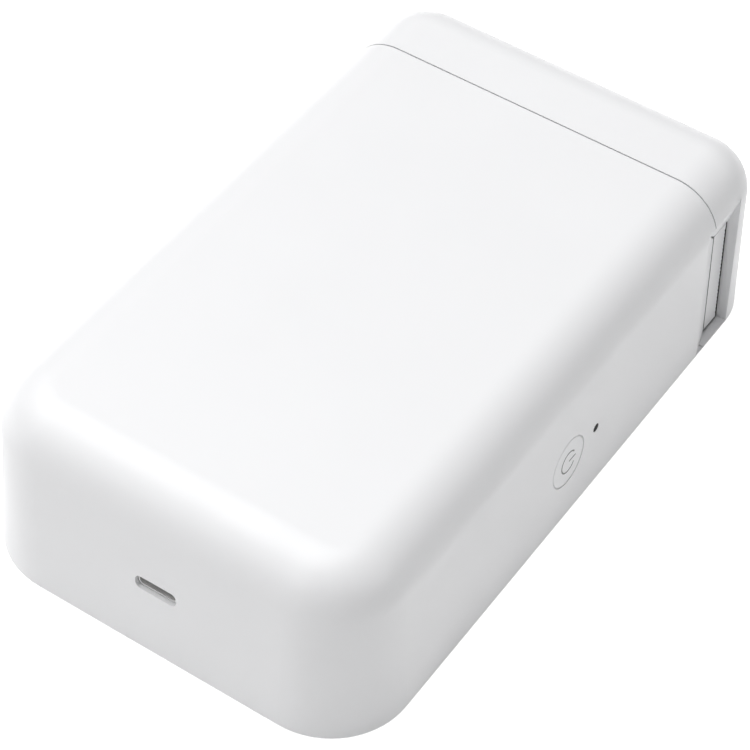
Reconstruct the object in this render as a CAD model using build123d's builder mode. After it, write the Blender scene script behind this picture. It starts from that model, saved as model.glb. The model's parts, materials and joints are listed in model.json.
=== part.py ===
from build123d import *
import math
import os

# Portable label printer lying on its feet, in millimetres.
# X runs across the printer, Y along it from the charging end to the end cover, and Z up.
# The origin is the middle of the footprint, on the surface that the feet stand on.

# Overall form of the housing
body_width = 77.0
body_length = 129.8
body_height = 36.0
wall_draft = 2.75
near_corner = 14.7
far_corner = 11.0
top_round = 8.9
bottom_round = 0.9
shell_wall = 2.0
foot_stand = 0.4

# Fits and gaps
seam_gap = 0.3
fit_gap = 0.15
loose_gap = 0.3
running_gap = 0.05

# Parting of the end cover and its hinge
seam_y = 45.25
cover_floor = 2.0
hinge_inset = 2.0
barrel_radius = 2.6
barrel_gap = 0.3
hinge_pin_radius = 0.6
lower_barrel = 5.4
cover_knuckle_height = 9.0
barrel_top = 31.0
hinge_pin_length = 19.0

# Label exit recess, in the plane of the right wall: along Y, up the wall, and depth into it
recess_depth = 1.9
recess_near_edge = 42.5
recess_near_floor = 48.4
recess_far_floor = 53.4
recess_far_edge = 54.2
recess_top_edge = 29.8
recess_top_floor = 24.0
sill_height = 0.6
tongue_depth = 3.4
backing_depth = 3.2

# Tear bar beside the label slot
tear_bar_thickness = 1.6
label_slot_width = 0.5
sill_gap = 0.7
tear_lap = 2.6
tear_lap_thickness = 1.1

# Power button and status light on the right wall
button_y = -2.2
button_height = 13.9
button_radius = 4.75
button_gap = 0.2
button_flange = 0.9
button_flange_thickness = 1.0
button_stem_radius = 2.6
button_travel = 0.5
light_y = 6.6
light_height = 14.3
light_radius = 0.8

# Charging socket in the near wall
socket_height_up = 15.9
socket_width = 7.6
socket_thickness = 2.5
socket_round = 1.1
socket_length = 6.2
socket_setback = 0.7
socket_sheet = 0.3

# Base plate, feet and their screws
base_thickness = 2.0
foot_radius = 3.5
foot_recess = 0.8
front_foot_x = 17.0
front_foot_y = -54.0
rear_foot_x = 25.0
rear_foot_y = 37.5
screw_radius = 1.0
screw_head_radius = 1.9
screw_head_height = 1.0
screw_head_drop = 0.2
screw_length = 9.0
post_radius = 2.6
screw_places = [(-26.5, -48.0), (26.5, -48.0), (-33.2, 30.0), (32.6, 17.5)]

# Chassis, roll bay and label roll
chassis_floor = 1.6
bay_x = -10.0
bay_y = 24.0
bay_radius = 19.0
bay_wall = 1.4
bay_top = 29.0
end_wall = 1.6
head_window_left = 12.4
head_window_top = 33.0
roll_radius = 16.5
roll_width = 18.0
core_radius = 6.4
core_wall = 1.2
hub_height = 4.0

# Battery and main board
battery_width = 48.0
battery_length = 37.0
battery_thickness = 8.2
battery_y = -26.0
tray_rim = 1.2
tray_rim_height = 3.0
board_half_width = 29.8
board_near = -59.6
board_far = 1.0
board_arm_left = 14.0
board_arm_far = 10.0
board_thickness = 1.0
board_corner = 7.0
board_post_radius = 2.2
board_screw_radius = 0.8
board_posts = [(-26.8, -39.0), (26.8, -39.0), (-26.8, -2.6), (17.0, 6.0)]

# Print head and platen
platen_x = 26.0
platen_radius = 3.6
platen_core_radius = 1.25
nip_gap = 0.25
head_low = 4.6
head_high = 23.4
heat_sink_thickness = 2.4
ceramic_thickness = 0.7
head_right = 31.8
head_pivot_x = 15.2
head_pivot_back = 2.6
head_pivot_radius = 1.0
head_knuckle_radius = 2.0
bush_radius = 2.2
bush_flange_radius = 2.9
bush_flange = 0.3

# Gear train: module, teeth and levels
gear_module = 0.5
platen_teeth = 16
idler_teeth = 22
small_teeth = 12
big_teeth = 32
pinion_teeth = 10
idler_angle = -84.0
reduction_angle = -130.0
pinion_angle = -80.0
low_gear_level = 25.9
low_gear_height = 2.4
high_gear_level = 28.6
high_gear_height = 2.4
axle_radius = 0.75
gear_plate_level = 24.2
gear_plate_thickness = 1.0
motor_radius = 7.5
motor_length = 12.0
motor_shaft_radius = 0.6

# Places worked out from the sizes above
half_width = body_width / 2
half_length = body_length / 2
draft_sine = math.sin(math.radians(wall_draft))
draft_cosine = math.cos(math.radians(wall_draft))
draft_slope = math.tan(math.radians(wall_draft))
base_top = foot_stand + base_thickness
chassis_top = base_top + chassis_floor
body_end = seam_y - seam_gap / 2
cover_start = seam_y + seam_gap / 2
hinge_x = hinge_inset - half_width
hinge_y = seam_y
label_plane = recess_far_floor - label_slot_width / 2
head_face = label_plane - fit_gap
platen_y = label_plane + nip_gap - fit_gap + platen_radius
head_back = head_face - ceramic_thickness - heat_sink_thickness
head_pivot_y = head_face - head_pivot_back
board_top = foot_stand + socket_height_up - socket_thickness / 2
board_low = board_top - board_thickness
roll_low = chassis_top + loose_gap

side_plane = Plane(
    origin=(half_width, 0, foot_stand), x_dir=(0, 1, 0), z_dir=(draft_cosine, 0, draft_sine)
)
near_plane = Plane(
    origin=(0, -half_length, foot_stand), x_dir=(1, 0, 0), z_dir=(0, -draft_cosine, draft_sine)
)
body_end_plane = Plane(origin=(0, body_end, 0), z_dir=(0, 1, 0))
cover_start_plane = Plane(origin=(0, cover_start, 0), z_dir=(0, 1, 0))


def wall_depth_plane(plane, depth):
    """The plane that lies at a depth inside a drafted wall."""
    return plane.offset(-depth)


def gear_step(place, teeth, mate_teeth, angle):
    """The centre of the gear that meshes with one at place, in the direction of angle."""
    distance = gear_module * (teeth + mate_teeth) / 2 + running_gap
    turn = math.radians(angle)
    return (place[0] + distance * math.cos(turn), place[1] + distance * math.sin(turn))


platen_place = (platen_x, platen_y)
idler_place = gear_step(platen_place, platen_teeth, idler_teeth, idler_angle)
reduction_place = gear_step(idler_place, idler_teeth, small_teeth, reduction_angle)
pinion_place = gear_step(reduction_place, big_teeth, pinion_teeth, pinion_angle)


def housing_form(inset, top_drop):
    """Drafted block with round plan corners and a round top edge, set in from the outside."""
    with BuildPart() as form:
        with BuildSketch(Plane.XY.offset(foot_stand)) as outline:
            Rectangle(body_width - 2 * inset, body_length - 2 * inset)
            fillet(outline.vertices().group_by(Axis.Y)[0], near_corner - inset)
            fillet(outline.vertices().group_by(Axis.Y)[-1], far_corner - inset)
        extrude(amount=body_height - top_drop, taper=wall_draft)
        fillet(form.faces().sort_by(Axis.Z)[-1].edges(), top_round - top_drop)
    return form.part


def upright(low, high, places, radius):
    """Upright round bars of one radius between two levels."""
    with BuildPart() as bars:
        with BuildSketch(Plane.XY.offset(low)):
            with Locations(*places):
                Circle(radius)
        extrude(amount=high - low)
    return bars.part


def block(low, high):
    """A plain block between two opposite corners."""
    with BuildPart() as solid:
        with BuildSketch(Plane.XY.offset(low[2])):
            with Locations((low[0], low[1])):
                Rectangle(high[0] - low[0], high[1] - low[1], align=(Align.MIN, Align.MIN))
        extrude(amount=high[2] - low[2])
    return solid.part


def wall_prism(corners, depth, stand_out):
    """A prism drawn on the right wall, from stand_out above its face to depth inside it."""
    with BuildPart() as prism:
        with BuildSketch(side_plane.offset(stand_out)):
            Polygon(*corners, align=None)
        extrude(amount=-(depth + stand_out))
    return prism.part


with BuildPart() as outer_block:
    add(housing_form(0, 0))
    fillet(outer_block.faces().sort_by(Axis.Z)[0].edges(), bottom_round)
outer_form = outer_block.part
inner_form = housing_form(shell_wall, shell_wall)
liner_form = housing_form(shell_wall + loose_gap, shell_wall + loose_gap)

# The recess is a shallow frustum, open at the bottom of the wall
recess_stand_out = 0.5
near_slope = (recess_near_floor - recess_near_edge) / recess_depth
far_slope = (recess_far_edge - recess_far_floor) / recess_depth
top_slope = (recess_top_edge - recess_top_floor) / recess_depth
recess_under = -3.0


def recess_section(depth):
    """Corners of the recess at a depth inside the wall."""
    rise = recess_depth - depth
    near = recess_near_floor - near_slope * rise
    far = recess_far_floor + far_slope * rise
    top = recess_top_floor + top_slope * rise
    return [(near, recess_under), (far, recess_under), (far, top), (near, top)]


with BuildPart() as recess_block:
    for depth in (-recess_stand_out, recess_depth):
        with BuildSketch(wall_depth_plane(side_plane, depth)):
            Polygon(*recess_section(depth), align=None)
    loft(ruled=True)
recess_form = recess_block.part

# The corner of the recess runs as a mitre between its near slope and its top slope
mitre_share = (seam_y - recess_near_edge) / (recess_near_floor - recess_near_edge)
mitre_top = recess_top_edge - mitre_share * (recess_top_edge - recess_top_floor)


def tongue_corners(gap):
    """Outline on the right wall of the body's tongue beside the recess, grown by gap."""
    near = recess_near_edge - 0.7 - gap
    far = recess_near_floor + gap
    return [
        (near, recess_under),
        (body_end, recess_under),
        (body_end, sill_height + seam_gap - gap),
        (far, sill_height + seam_gap - gap),
        (far, recess_top_floor - seam_gap + gap),
        (body_end, mitre_top - seam_gap + gap),
        (near, mitre_top - seam_gap + gap),
    ]


window_corners = [
    (body_end - 1.0, sill_height),
    (recess_far_floor, sill_height),
    (recess_far_floor, recess_top_floor),
    (recess_near_floor + seam_gap, recess_top_floor),
    (body_end, mitre_top + seam_gap / 2),
    (body_end - 1.0, mitre_top + seam_gap / 2),
]

with BuildPart() as tongue_block:
    add(wall_prism(tongue_corners(0), tongue_depth, 0))
    add(outer_form, mode=Mode.INTERSECT)
tongue_form = tongue_block.part
tongue_room = wall_prism(tongue_corners(fit_gap), tongue_depth + fit_gap, 1.0)

# Hinge barrels lie round the pin, and are trimmed to the wall's face
hinge_place = (hinge_x, hinge_y)
knuckle_low = foot_stand + lower_barrel
knuckle_high = knuckle_low + cover_knuckle_height
barrel_room = barrel_radius + barrel_gap


def barrel_form(low, high):
    """A length of hinge barrel, cut flush with the outside of the wall."""
    with BuildPart() as barrel:
        add(upright(low, high, [hinge_place], barrel_radius))
        add(outer_form, mode=Mode.INTERSECT)
    return barrel.part


# Upper shell of the body
with BuildPart() as upper_shell:
    add(outer_form)
    add(inner_form, mode=Mode.SUBTRACT)
    split(bisect_by=body_end_plane, keep=Keep.BOTTOM)
    add(tongue_form)
    add(recess_form, mode=Mode.SUBTRACT)
    add(barrel_form(foot_stand, knuckle_low - barrel_gap / 2))
    add(barrel_form(knuckle_high + barrel_gap / 2, foot_stand + barrel_top))
    add(
        upright(
            knuckle_low - barrel_gap / 2, knuckle_high + barrel_gap / 2, [hinge_place], barrel_room
        ),
        mode=Mode.SUBTRACT,
    )
    add(
        upright(foot_stand, foot_stand + hinge_pin_length, [hinge_place], hinge_pin_radius),
        mode=Mode.SUBTRACT,
    )
    # Posts that the base screws run into
    with BuildSketch(Plane.XY.offset(chassis_top)):
        with Locations(*screw_places):
            Circle(post_radius)
    extrude(until=Until.NEXT)
    with BuildSketch(Plane.XY.offset(chassis_top)):
        with Locations(*screw_places):
            Circle(screw_radius)
    extrude(amount=screw_length, mode=Mode.SUBTRACT)
    # Holes for the button, the light and the socket
    with BuildSketch(side_plane):
        with Locations((button_y, button_height)):
            Circle(button_radius + button_gap)
        with Locations((light_y, light_height)):
            Circle(light_radius + running_gap)
    extrude(amount=-2 * shell_wall, mode=Mode.SUBTRACT)
    with BuildSketch(near_plane):
        with Locations((0, socket_height_up)):
            RectangleRounded(socket_width + 2 * fit_gap, socket_thickness + 2 * fit_gap, socket_round)
    extrude(amount=-2 * shell_wall, mode=Mode.SUBTRACT)

# Base plate, let into the bottom of the upper shell
with BuildPart() as base_plate:
    add(housing_form(shell_wall + fit_gap, shell_wall))
    split(bisect_by=Plane.XY.offset(base_top), keep=Keep.BOTTOM)
    split(bisect_by=body_end_plane, keep=Keep.BOTTOM)
    add(tongue_room, mode=Mode.SUBTRACT)
    add(
        upright(foot_stand, base_top, [hinge_place], barrel_radius + fit_gap),
        mode=Mode.SUBTRACT,
    )
    with Locations(*[(x, y, foot_stand) for x, y in screw_places]):
        Cylinder(
            screw_radius + fit_gap,
            base_thickness,
            align=(Align.CENTER, Align.CENTER, Align.MIN),
            mode=Mode.SUBTRACT,
        )
        Cylinder(
            screw_head_radius + fit_gap,
            screw_head_height + screw_head_drop,
            align=(Align.CENTER, Align.CENTER, Align.MIN),
            mode=Mode.SUBTRACT,
        )
    foot_places = [
        (front_foot_x, front_foot_y),
        (-front_foot_x, front_foot_y),
        (rear_foot_x, rear_foot_y),
        (-rear_foot_x, rear_foot_y),
    ]
    with BuildSketch(Plane.XY.offset(foot_stand)):
        with Locations(*foot_places):
            Circle(foot_radius + fit_gap)
    extrude(amount=foot_recess, mode=Mode.SUBTRACT)

with BuildPart() as foot_pads:
    with BuildSketch():
        with Locations(*foot_places):
            Circle(foot_radius)
    extrude(amount=foot_stand + foot_recess)
    chamfer(foot_pads.faces().group_by(Axis.Z)[0].edges(), 0.15)

with BuildPart() as base_screws:
    head_low_face = foot_stand + screw_head_drop
    add(
        upright(
            head_low_face, head_low_face + screw_head_height, screw_places, screw_head_radius
        )
    )
    add(
        upright(
            head_low_face + screw_head_height,
            chassis_top + screw_length - loose_gap,
            screw_places,
            screw_radius,
        )
    )
    with BuildSketch(Plane.XY.offset(head_low_face)):
        with Locations(*screw_places):
            Rectangle(2.2, 0.5)
            Rectangle(0.5, 2.2)
    extrude(amount=0.5, mode=Mode.SUBTRACT)

# Chassis: floor, roll bay, end wall, posts and the nose that carries the print head
nose_far = recess_far_floor - label_slot_width
nose_left = head_pivot_x - head_knuckle_radius - 1.2
nose_right = 34.2
head_wall_front = head_back - 2.0
head_wall_thickness = 1.6
head_wall_right = nose_right - 1.7
plate_posts = [(13.8, 20.4), (32.2, 40.0)]
plate_post_radius = 2.0

with BuildPart() as chassis:
    add(block((-half_width, -half_length, base_top), (half_width, body_end, chassis_top)))
    add(block((-half_width, body_end - end_wall, base_top), (half_width, body_end, body_height)))
    add(liner_form, mode=Mode.INTERSECT)
    # Openings of the end wall, for the roll and for the print head
    add(
        block(
            (bay_x - bay_radius, body_end - 2 * end_wall, chassis_top),
            (bay_x + bay_radius, body_end + end_wall, bay_top),
        ),
        mode=Mode.SUBTRACT,
    )
    add(
        block(
            (head_window_left, body_end - 2 * end_wall, chassis_top),
            (half_width, body_end + end_wall, head_window_top),
        ),
        mode=Mode.SUBTRACT,
    )
    # Slot in the end wall for the cover's hook
    add(
        block((-9.3, body_end - 2 * end_wall, 30.4), (-2.7, body_end + end_wall, 32.7)),
        mode=Mode.SUBTRACT,
    )
    # Nose below the print head
    add(block((nose_left, body_end - end_wall, base_top), (nose_right, nose_far, chassis_top)))
    add(
        block(
            (head_pivot_x + 2.4, head_wall_front - head_wall_thickness, chassis_top),
            (head_wall_right, head_wall_front, head_high),
        )
    )
    add(tongue_room, mode=Mode.SUBTRACT)
    add(upright(0, body_height, [hinge_place], barrel_room + fit_gap), mode=Mode.SUBTRACT)
    # Gap in the head wall for the flat cable
    add(
        block((19.4, head_wall_front - 3, chassis_top), (30.0, head_wall_front + 1, 8.4)),
        mode=Mode.SUBTRACT,
    )
    # Round wall of the roll bay and its hub
    with BuildSketch(Plane.XY.offset(chassis_top)):
        for radius, mode in ((bay_radius + bay_wall, Mode.ADD), (bay_radius, Mode.SUBTRACT)):
            with Locations((bay_x, bay_y)):
                Circle(radius, mode=mode)
                Rectangle(
                    2 * radius, body_end - end_wall - bay_y, align=(Align.CENTER, Align.MIN), mode=mode
                )
    extrude(amount=bay_top - chassis_top)
    add(
        upright(
            chassis_top, chassis_top + hub_height, [(bay_x, bay_y)], core_radius - core_wall - loose_gap
        )
    )
    # Rim round the battery
    with BuildSketch(Plane.XY.offset(chassis_top)):
        with Locations((0, battery_y)):
            RectangleRounded(
                battery_width + 2 * (loose_gap + tray_rim), battery_length + 2 * (loose_gap + tray_rim), 2.0
            )
            Rectangle(
                battery_width + 2 * loose_gap, battery_length + 2 * loose_gap, mode=Mode.SUBTRACT
            )
    extrude(amount=tray_rim_height)
    # Posts of the board and of the gear plate
    add(upright(chassis_top, board_low, board_posts, board_post_radius))
    add(upright(chassis_top, gear_plate_level, plate_posts, plate_post_radius))
    add(
        upright(board_low - 4.0, board_low, board_posts, board_screw_radius), mode=Mode.SUBTRACT
    )
    add(
        upright(gear_plate_level - 4.0, gear_plate_level, plate_posts, board_screw_radius),
        mode=Mode.SUBTRACT,
    )
    # Holes for the base screws and the head's pivot pin
    add(
        upright(base_top, chassis_top, screw_places, screw_radius + fit_gap), mode=Mode.SUBTRACT
    )
    add(
        upright(base_top, chassis_top, [(head_pivot_x, head_pivot_y)], head_pivot_radius),
        mode=Mode.SUBTRACT,
    )

# Tear bar: a strip flush with the floor of the recess, with a lap behind the tongue
with BuildPart() as tear_bar:
    strip_near = recess_near_floor + seam_gap
    strip_far = nose_far
    strip_low = sill_height + sill_gap
    strip_high = recess_top_floor - fit_gap
    with BuildSketch(wall_depth_plane(side_plane, recess_depth)):
        Polygon(
            (strip_near, strip_low),
            (strip_far, strip_low),
            (strip_far, strip_high),
            (strip_near, strip_high),
            align=None,
        )
    extrude(amount=-tear_bar_thickness)
    lap_depth = recess_depth + tear_bar_thickness
    with BuildSketch(wall_depth_plane(side_plane, lap_depth)):
        Polygon(
            (strip_near - tear_lap, chassis_top + fit_gap),
            (strip_far - 1.6, chassis_top + fit_gap),
            (strip_far - 1.6, strip_high),
            (strip_near - tear_lap, strip_high),
            align=None,
        )
    extrude(amount=-tear_lap_thickness)
    # Fine teeth along the edge that faces the slot
    tooth_pitch = 0.9
    tooth_count = int((strip_high - strip_low - 1.0) / tooth_pitch)
    with BuildSketch(wall_depth_plane(side_plane, recess_depth)):
        for index in range(tooth_count):
            notch = strip_low + 0.7 + index * tooth_pitch
            Polygon(
                (strip_far, notch),
                (strip_far - 0.3, notch + tooth_pitch / 2),
                (strip_far, notch + tooth_pitch * 0.8),
                align=None,
            )
    extrude(amount=-0.6, mode=Mode.SUBTRACT)

# Power button, built square to the drafted wall
with BuildPart() as power_button:
    with BuildSketch(side_plane):
        with Locations((button_y, button_height)):
            Circle(button_radius)
    extrude(amount=-shell_wall - running_gap)
    fillet(power_button.faces().sort_by(Axis.X)[-1].edges(), 0.25)
    with BuildSketch(wall_depth_plane(side_plane, shell_wall + running_gap)):
        with Locations((button_y, button_height)):
            Circle(button_radius + button_flange)
    extrude(amount=-button_flange_thickness)
    stem_reach = (half_width - button_height * draft_slope - board_half_width) / draft_cosine - 1.0
    with BuildSketch(side_plane.offset(-shell_wall)):
        with Locations((button_y, button_height)):
            Circle(button_stem_radius)
    extrude(amount=-(stem_reach - shell_wall))

switch_width = 6.0
switch_depth = 3.4
switch_rise = 3.4
plunger_radius = 0.9
plunger_height = board_top + switch_rise / 2
stem_end_x = half_width - button_height * draft_slope - stem_reach * draft_cosine
switch_right = stem_end_x - 1.0

with BuildPart() as power_switch:
    add(
        block(
            (switch_right - switch_depth, button_y - switch_width / 2, board_top),
            (switch_right, button_y + switch_width / 2, board_top + switch_rise),
        )
    )
    with BuildSketch(Plane.YZ.offset(switch_right)):
        with Locations((button_y, plunger_height)):
            Circle(plunger_radius + running_gap)
    extrude(amount=-button_travel - 1.4, mode=Mode.SUBTRACT)

with BuildPart() as switch_plunger:
    with BuildSketch(Plane.YZ.offset(switch_right - 1.2)):
        with Locations((button_y, plunger_height)):
            Circle(plunger_radius)
    extrude(amount=stem_end_x - switch_right + 1.2 - running_gap)

# Light pipe and the lamp that it faces
with BuildPart() as light_pipe:
    with BuildSketch(side_plane.offset(-0.1)):
        with Locations((light_y, light_height)):
            Circle(light_radius)
    extrude(amount=-(stem_reach - 0.4))
    with BuildSketch(wall_depth_plane(side_plane, shell_wall + running_gap)):
        with Locations((light_y, light_height)):
            Circle(light_radius + 0.7)
    extrude(amount=-0.8)

with BuildPart() as status_lamp:
    add(
        block(
            (board_half_width - 1.8, light_y - 0.9, board_top),
            (board_half_width - 0.2, light_y + 0.9, board_top + 0.8),
        )
    )
    chamfer(status_lamp.faces().sort_by(Axis.Z)[-1].edges(), 0.15)

# Charging socket: a folded steel sleeve round a plastic tongue
socket_front = -half_length + socket_height_up * draft_slope + socket_setback
socket_middle = board_top + socket_thickness / 2
with BuildPart() as charging_socket:
    with BuildSketch(Plane.XZ.offset(-socket_front)):
        with Locations((0, socket_middle)):
            RectangleRounded(socket_width, socket_thickness, socket_round)
            RectangleRounded(
                socket_width - 2 * socket_sheet,
                socket_thickness - 2 * socket_sheet,
                socket_round - socket_sheet,
                mode=Mode.SUBTRACT,
            )
    extrude(amount=-socket_length)

with BuildPart() as socket_tongue:
    back = socket_front + socket_length
    add(
        block(
            (-socket_width / 2 + socket_round, back - 1.0, board_top + socket_sheet),
            (socket_width / 2 - socket_round, back, board_top + socket_thickness - socket_sheet),
        )
    )
    add(block((-2.4, socket_front + 1.0, socket_middle - 0.35), (2.4, back, socket_middle + 0.35)))

# Main board with its chips, sockets and screws
with BuildPart() as main_board:
    with BuildSketch(Plane.XY.offset(board_low)) as board_outline:
        with Locations((0, board_near)):
            Rectangle(
                2 * board_half_width, board_far - board_near, align=(Align.CENTER, Align.MIN)
            )
        fillet(board_outline.vertices().group_by(Axis.Y)[0], board_corner)
        with Locations((board_arm_left, board_far)):
            Rectangle(
                board_half_width - board_arm_left,
                board_arm_far - board_far,
                align=(Align.MIN, Align.MIN),
            )
        with Locations(*screw_places[:2]):
            Circle(post_radius + loose_gap, mode=Mode.SUBTRACT)
        with Locations(*board_posts):
            Circle(board_screw_radius + fit_gap, mode=Mode.SUBTRACT)
    extrude(amount=board_thickness)

with BuildPart() as board_screws:
    add(upright(board_top, board_top + 0.9, board_posts, 1.6))
    add(upright(board_low - 3.8, board_top, board_posts, board_screw_radius))
    with BuildSketch(Plane.XY.offset(board_top + 0.9)):
        with Locations(*board_posts):
            Rectangle(1.8, 0.4)
            Rectangle(0.4, 1.8)
    extrude(amount=-0.45, mode=Mode.SUBTRACT)

with BuildPart() as board_chips:
    for x, y, width, length, rise in (
        (-8.0, -24.0, 7.0, 7.0, 0.9),
        (6.0, -26.0, 5.0, 5.0, 0.8),
        (14.0, -40.0, 4.0, 4.0, 1.8),
        (-6.0, -46.0, 3.0, 3.0, 0.9),
    ):
        add(
            block(
                (x - width / 2, y - length / 2, board_top),
                (x + width / 2, y + length / 2, board_top + rise),
            )
        )

with BuildPart() as radio_module:
    add(block((-24.0, -16.0, board_top), (-11.0, -1.0, board_top + 0.8)))
    add(block((-23.2, -15.2, board_top + 0.8), (-11.8, -5.0, board_top + 2.3)))

battery_socket_x = -25.0
battery_socket_y = -25.0
motor_socket_y = -2.0
motor_lead_x = 21.0
with BuildPart() as wire_sockets:
    add(
        block(
            (battery_socket_x - 2.0, battery_socket_y - 3.0, board_top),
            (battery_socket_x + 2.5, battery_socket_y + 3.0, board_top + 3.6),
        )
    )
    add(
        block(
            (motor_lead_x - 3.4, motor_socket_y - 2.0, board_top),
            (motor_lead_x + 3.4, motor_socket_y + 2.5, board_top + 3.2),
        )
    )

# Battery pack and its leads
battery_low = chassis_top
with BuildPart() as battery_pack:
    with BuildSketch(Plane.XY.offset(battery_low)):
        with Locations((0, battery_y)):
            Rectangle(battery_width, battery_length)
    extrude(amount=battery_thickness)
    fillet(battery_pack.edges().filter_by(Axis.Y), 2.0)

lead_radius = 0.55
lead_spread = 1.8
lead_bow = 3.0
with BuildPart() as battery_leads:
    for side in (-1, 1):
        lead_y = battery_socket_y + side * lead_spread / 2
        low_z = battery_low + battery_thickness / 2
        high_z = board_top + 1.8
        out_x = -board_half_width - 2.9
        with BuildLine() as lead_path:
            FilletPolyline(
                (-battery_width / 2, lead_y, low_z),
                (out_x, lead_y, low_z),
                (out_x, lead_y, high_z),
                (battery_socket_x - 2.0, lead_y, high_z),
                radius=lead_bow,
            )
        with BuildSketch(Plane(origin=(-battery_width / 2, lead_y, low_z), z_dir=(-1, 0, 0))):
            Circle(lead_radius)
        sweep(path=lead_path.line)

# Feed motor with its flat lead
motor_top = gear_plate_level
with BuildPart() as feed_motor:
    add(upright(motor_top - motor_length, motor_top - 0.8, [pinion_place], motor_radius))
    fillet(feed_motor.faces().sort_by(Axis.Z)[0].edges(), 0.8)
    add(upright(motor_top - 0.8, motor_top, [pinion_place], motor_radius - 1.2))

with BuildPart() as motor_leads:
    start_y = pinion_place[1] - motor_radius - running_gap
    start_z = motor_top - motor_length / 2
    end_z = board_top + 1.6
    with BuildLine() as ribbon_path:
        FilletPolyline(
            (motor_lead_x, start_y, start_z),
            (motor_lead_x, start_y - 5.0, start_z),
            (motor_lead_x, start_y - 10.5, end_z),
            (motor_lead_x, motor_socket_y + 2.5, end_z),
            radius=3.5,
        )
    lead_start = Plane(
        origin=(motor_lead_x, start_y, start_z), x_dir=(1, 0, 0), z_dir=(0, -1, 0)
    )
    with BuildSketch(lead_start):
        Rectangle(4.4, 0.9)
    sweep(path=ribbon_path.line)

with BuildPart() as gear_plate:
    with BuildSketch(Plane.XY.offset(gear_plate_level)) as plate_outline:
        Polygon(
            (11.9, 18.6),
            (22.0, 21.4),
            (33.5, 31.0),
            (33.5, 44.0),
            (31.0, 50.6),
            (20.0, 51.8),
            (13.2, 51.8),
            (13.2, 42.0),
            (13.0, 24.0),
            align=None,
        )
        fillet(plate_outline.vertices(), 1.4)
        with Locations(pinion_place):
            Circle(2.2, mode=Mode.SUBTRACT)
        with Locations(*plate_posts):
            Circle(board_screw_radius + fit_gap, mode=Mode.SUBTRACT)
        with Locations(idler_place, reduction_place):
            Circle(axle_radius, mode=Mode.SUBTRACT)
        with Locations((head_pivot_x, head_pivot_y)):
            Circle(head_pivot_radius, mode=Mode.SUBTRACT)
    extrude(amount=gear_plate_thickness)

plate_top = gear_plate_level + gear_plate_thickness
with BuildPart() as plate_screws:
    add(upright(plate_top, plate_top + 0.9, plate_posts, 1.6))
    add(upright(gear_plate_level - 3.8, plate_top, plate_posts, board_screw_radius))
    with BuildSketch(Plane.XY.offset(plate_top + 0.9)):
        with Locations(*plate_posts):
            Rectangle(1.8, 0.4)
            Rectangle(0.4, 1.8)
    extrude(amount=-0.45, mode=Mode.SUBTRACT)

with BuildPart() as gear_axles:
    add(
        upright(
            gear_plate_level, low_gear_level + low_gear_height + 0.1, [idler_place], axle_radius
        )
    )
    add(
        upright(
            gear_plate_level,
            high_gear_level + high_gear_height + 0.4,
            [reduction_place],
            axle_radius,
        )
    )


# Gears
def tooth_outline(teeth, phase):
    """Adds the outline of a spur gear to the sketch: a root circle and straight-sided teeth."""
    pitch_radius = gear_module * teeth / 2
    root_radius = pitch_radius - 1.25 * gear_module
    tip_radius = pitch_radius + 0.85 * gear_module
    pitch_width = 0.43 * math.pi * gear_module
    root_half = pitch_width / 2 + 0.30 * gear_module
    tip_half = pitch_width / 2 - 0.30 * gear_module
    Circle(root_radius)
    with PolarLocations(0, teeth, start_angle=phase):
        Polygon(
            (root_radius - 0.2, -root_half),
            (tip_radius, -tip_half),
            (tip_radius, tip_half),
            (root_radius - 0.2, root_half),
            align=None,
        )


def meshed_phase(driver_phase, driver_teeth, teeth, angle):
    """The phase that puts a gap of the next gear where the driver's teeth meet it."""
    offset = (180.0 - (driver_phase - angle) * driver_teeth) / teeth
    return angle + 180.0 + offset


platen_phase = idler_angle
idler_phase = meshed_phase(platen_phase, platen_teeth, idler_teeth, idler_angle)
small_phase = meshed_phase(idler_phase, idler_teeth, small_teeth, reduction_angle)
big_phase = pinion_angle
pinion_phase = meshed_phase(big_phase, big_teeth, pinion_teeth, pinion_angle)

with BuildPart() as idler_gear:
    with BuildSketch(Plane(origin=(*idler_place, low_gear_level))):
        tooth_outline(idler_teeth, idler_phase)
        Circle(axle_radius + running_gap, mode=Mode.SUBTRACT)
    extrude(amount=low_gear_height)
    with BuildSketch(Plane(origin=(*idler_place, plate_top + fit_gap))):
        Circle(2.0)
        Circle(axle_radius + running_gap, mode=Mode.SUBTRACT)
    extrude(amount=low_gear_level - plate_top - fit_gap)

with BuildPart() as reduction_gear:
    with BuildSketch(Plane(origin=(*reduction_place, plate_top + fit_gap))):
        Circle(2.0)
    extrude(amount=low_gear_level - plate_top - fit_gap)
    with BuildSketch(Plane(origin=(*reduction_place, low_gear_level))):
        tooth_outline(small_teeth, small_phase)
    extrude(amount=high_gear_level - low_gear_level)
    with BuildSketch(Plane(origin=(*reduction_place, high_gear_level))):
        tooth_outline(big_teeth, big_phase)
    extrude(amount=high_gear_height)
    with BuildSketch(Plane(origin=(*reduction_place, plate_top))):
        Circle(axle_radius + running_gap)
    extrude(amount=high_gear_level + high_gear_height - plate_top, mode=Mode.SUBTRACT)

with BuildPart() as motor_pinion:
    with BuildSketch(Plane(origin=(*pinion_place, high_gear_level - 1.0))):
        tooth_outline(pinion_teeth, pinion_phase)
    extrude(amount=high_gear_height + 1.0)
    add(upright(motor_top + running_gap, high_gear_level - 1.0, [pinion_place], 1.2))

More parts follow.
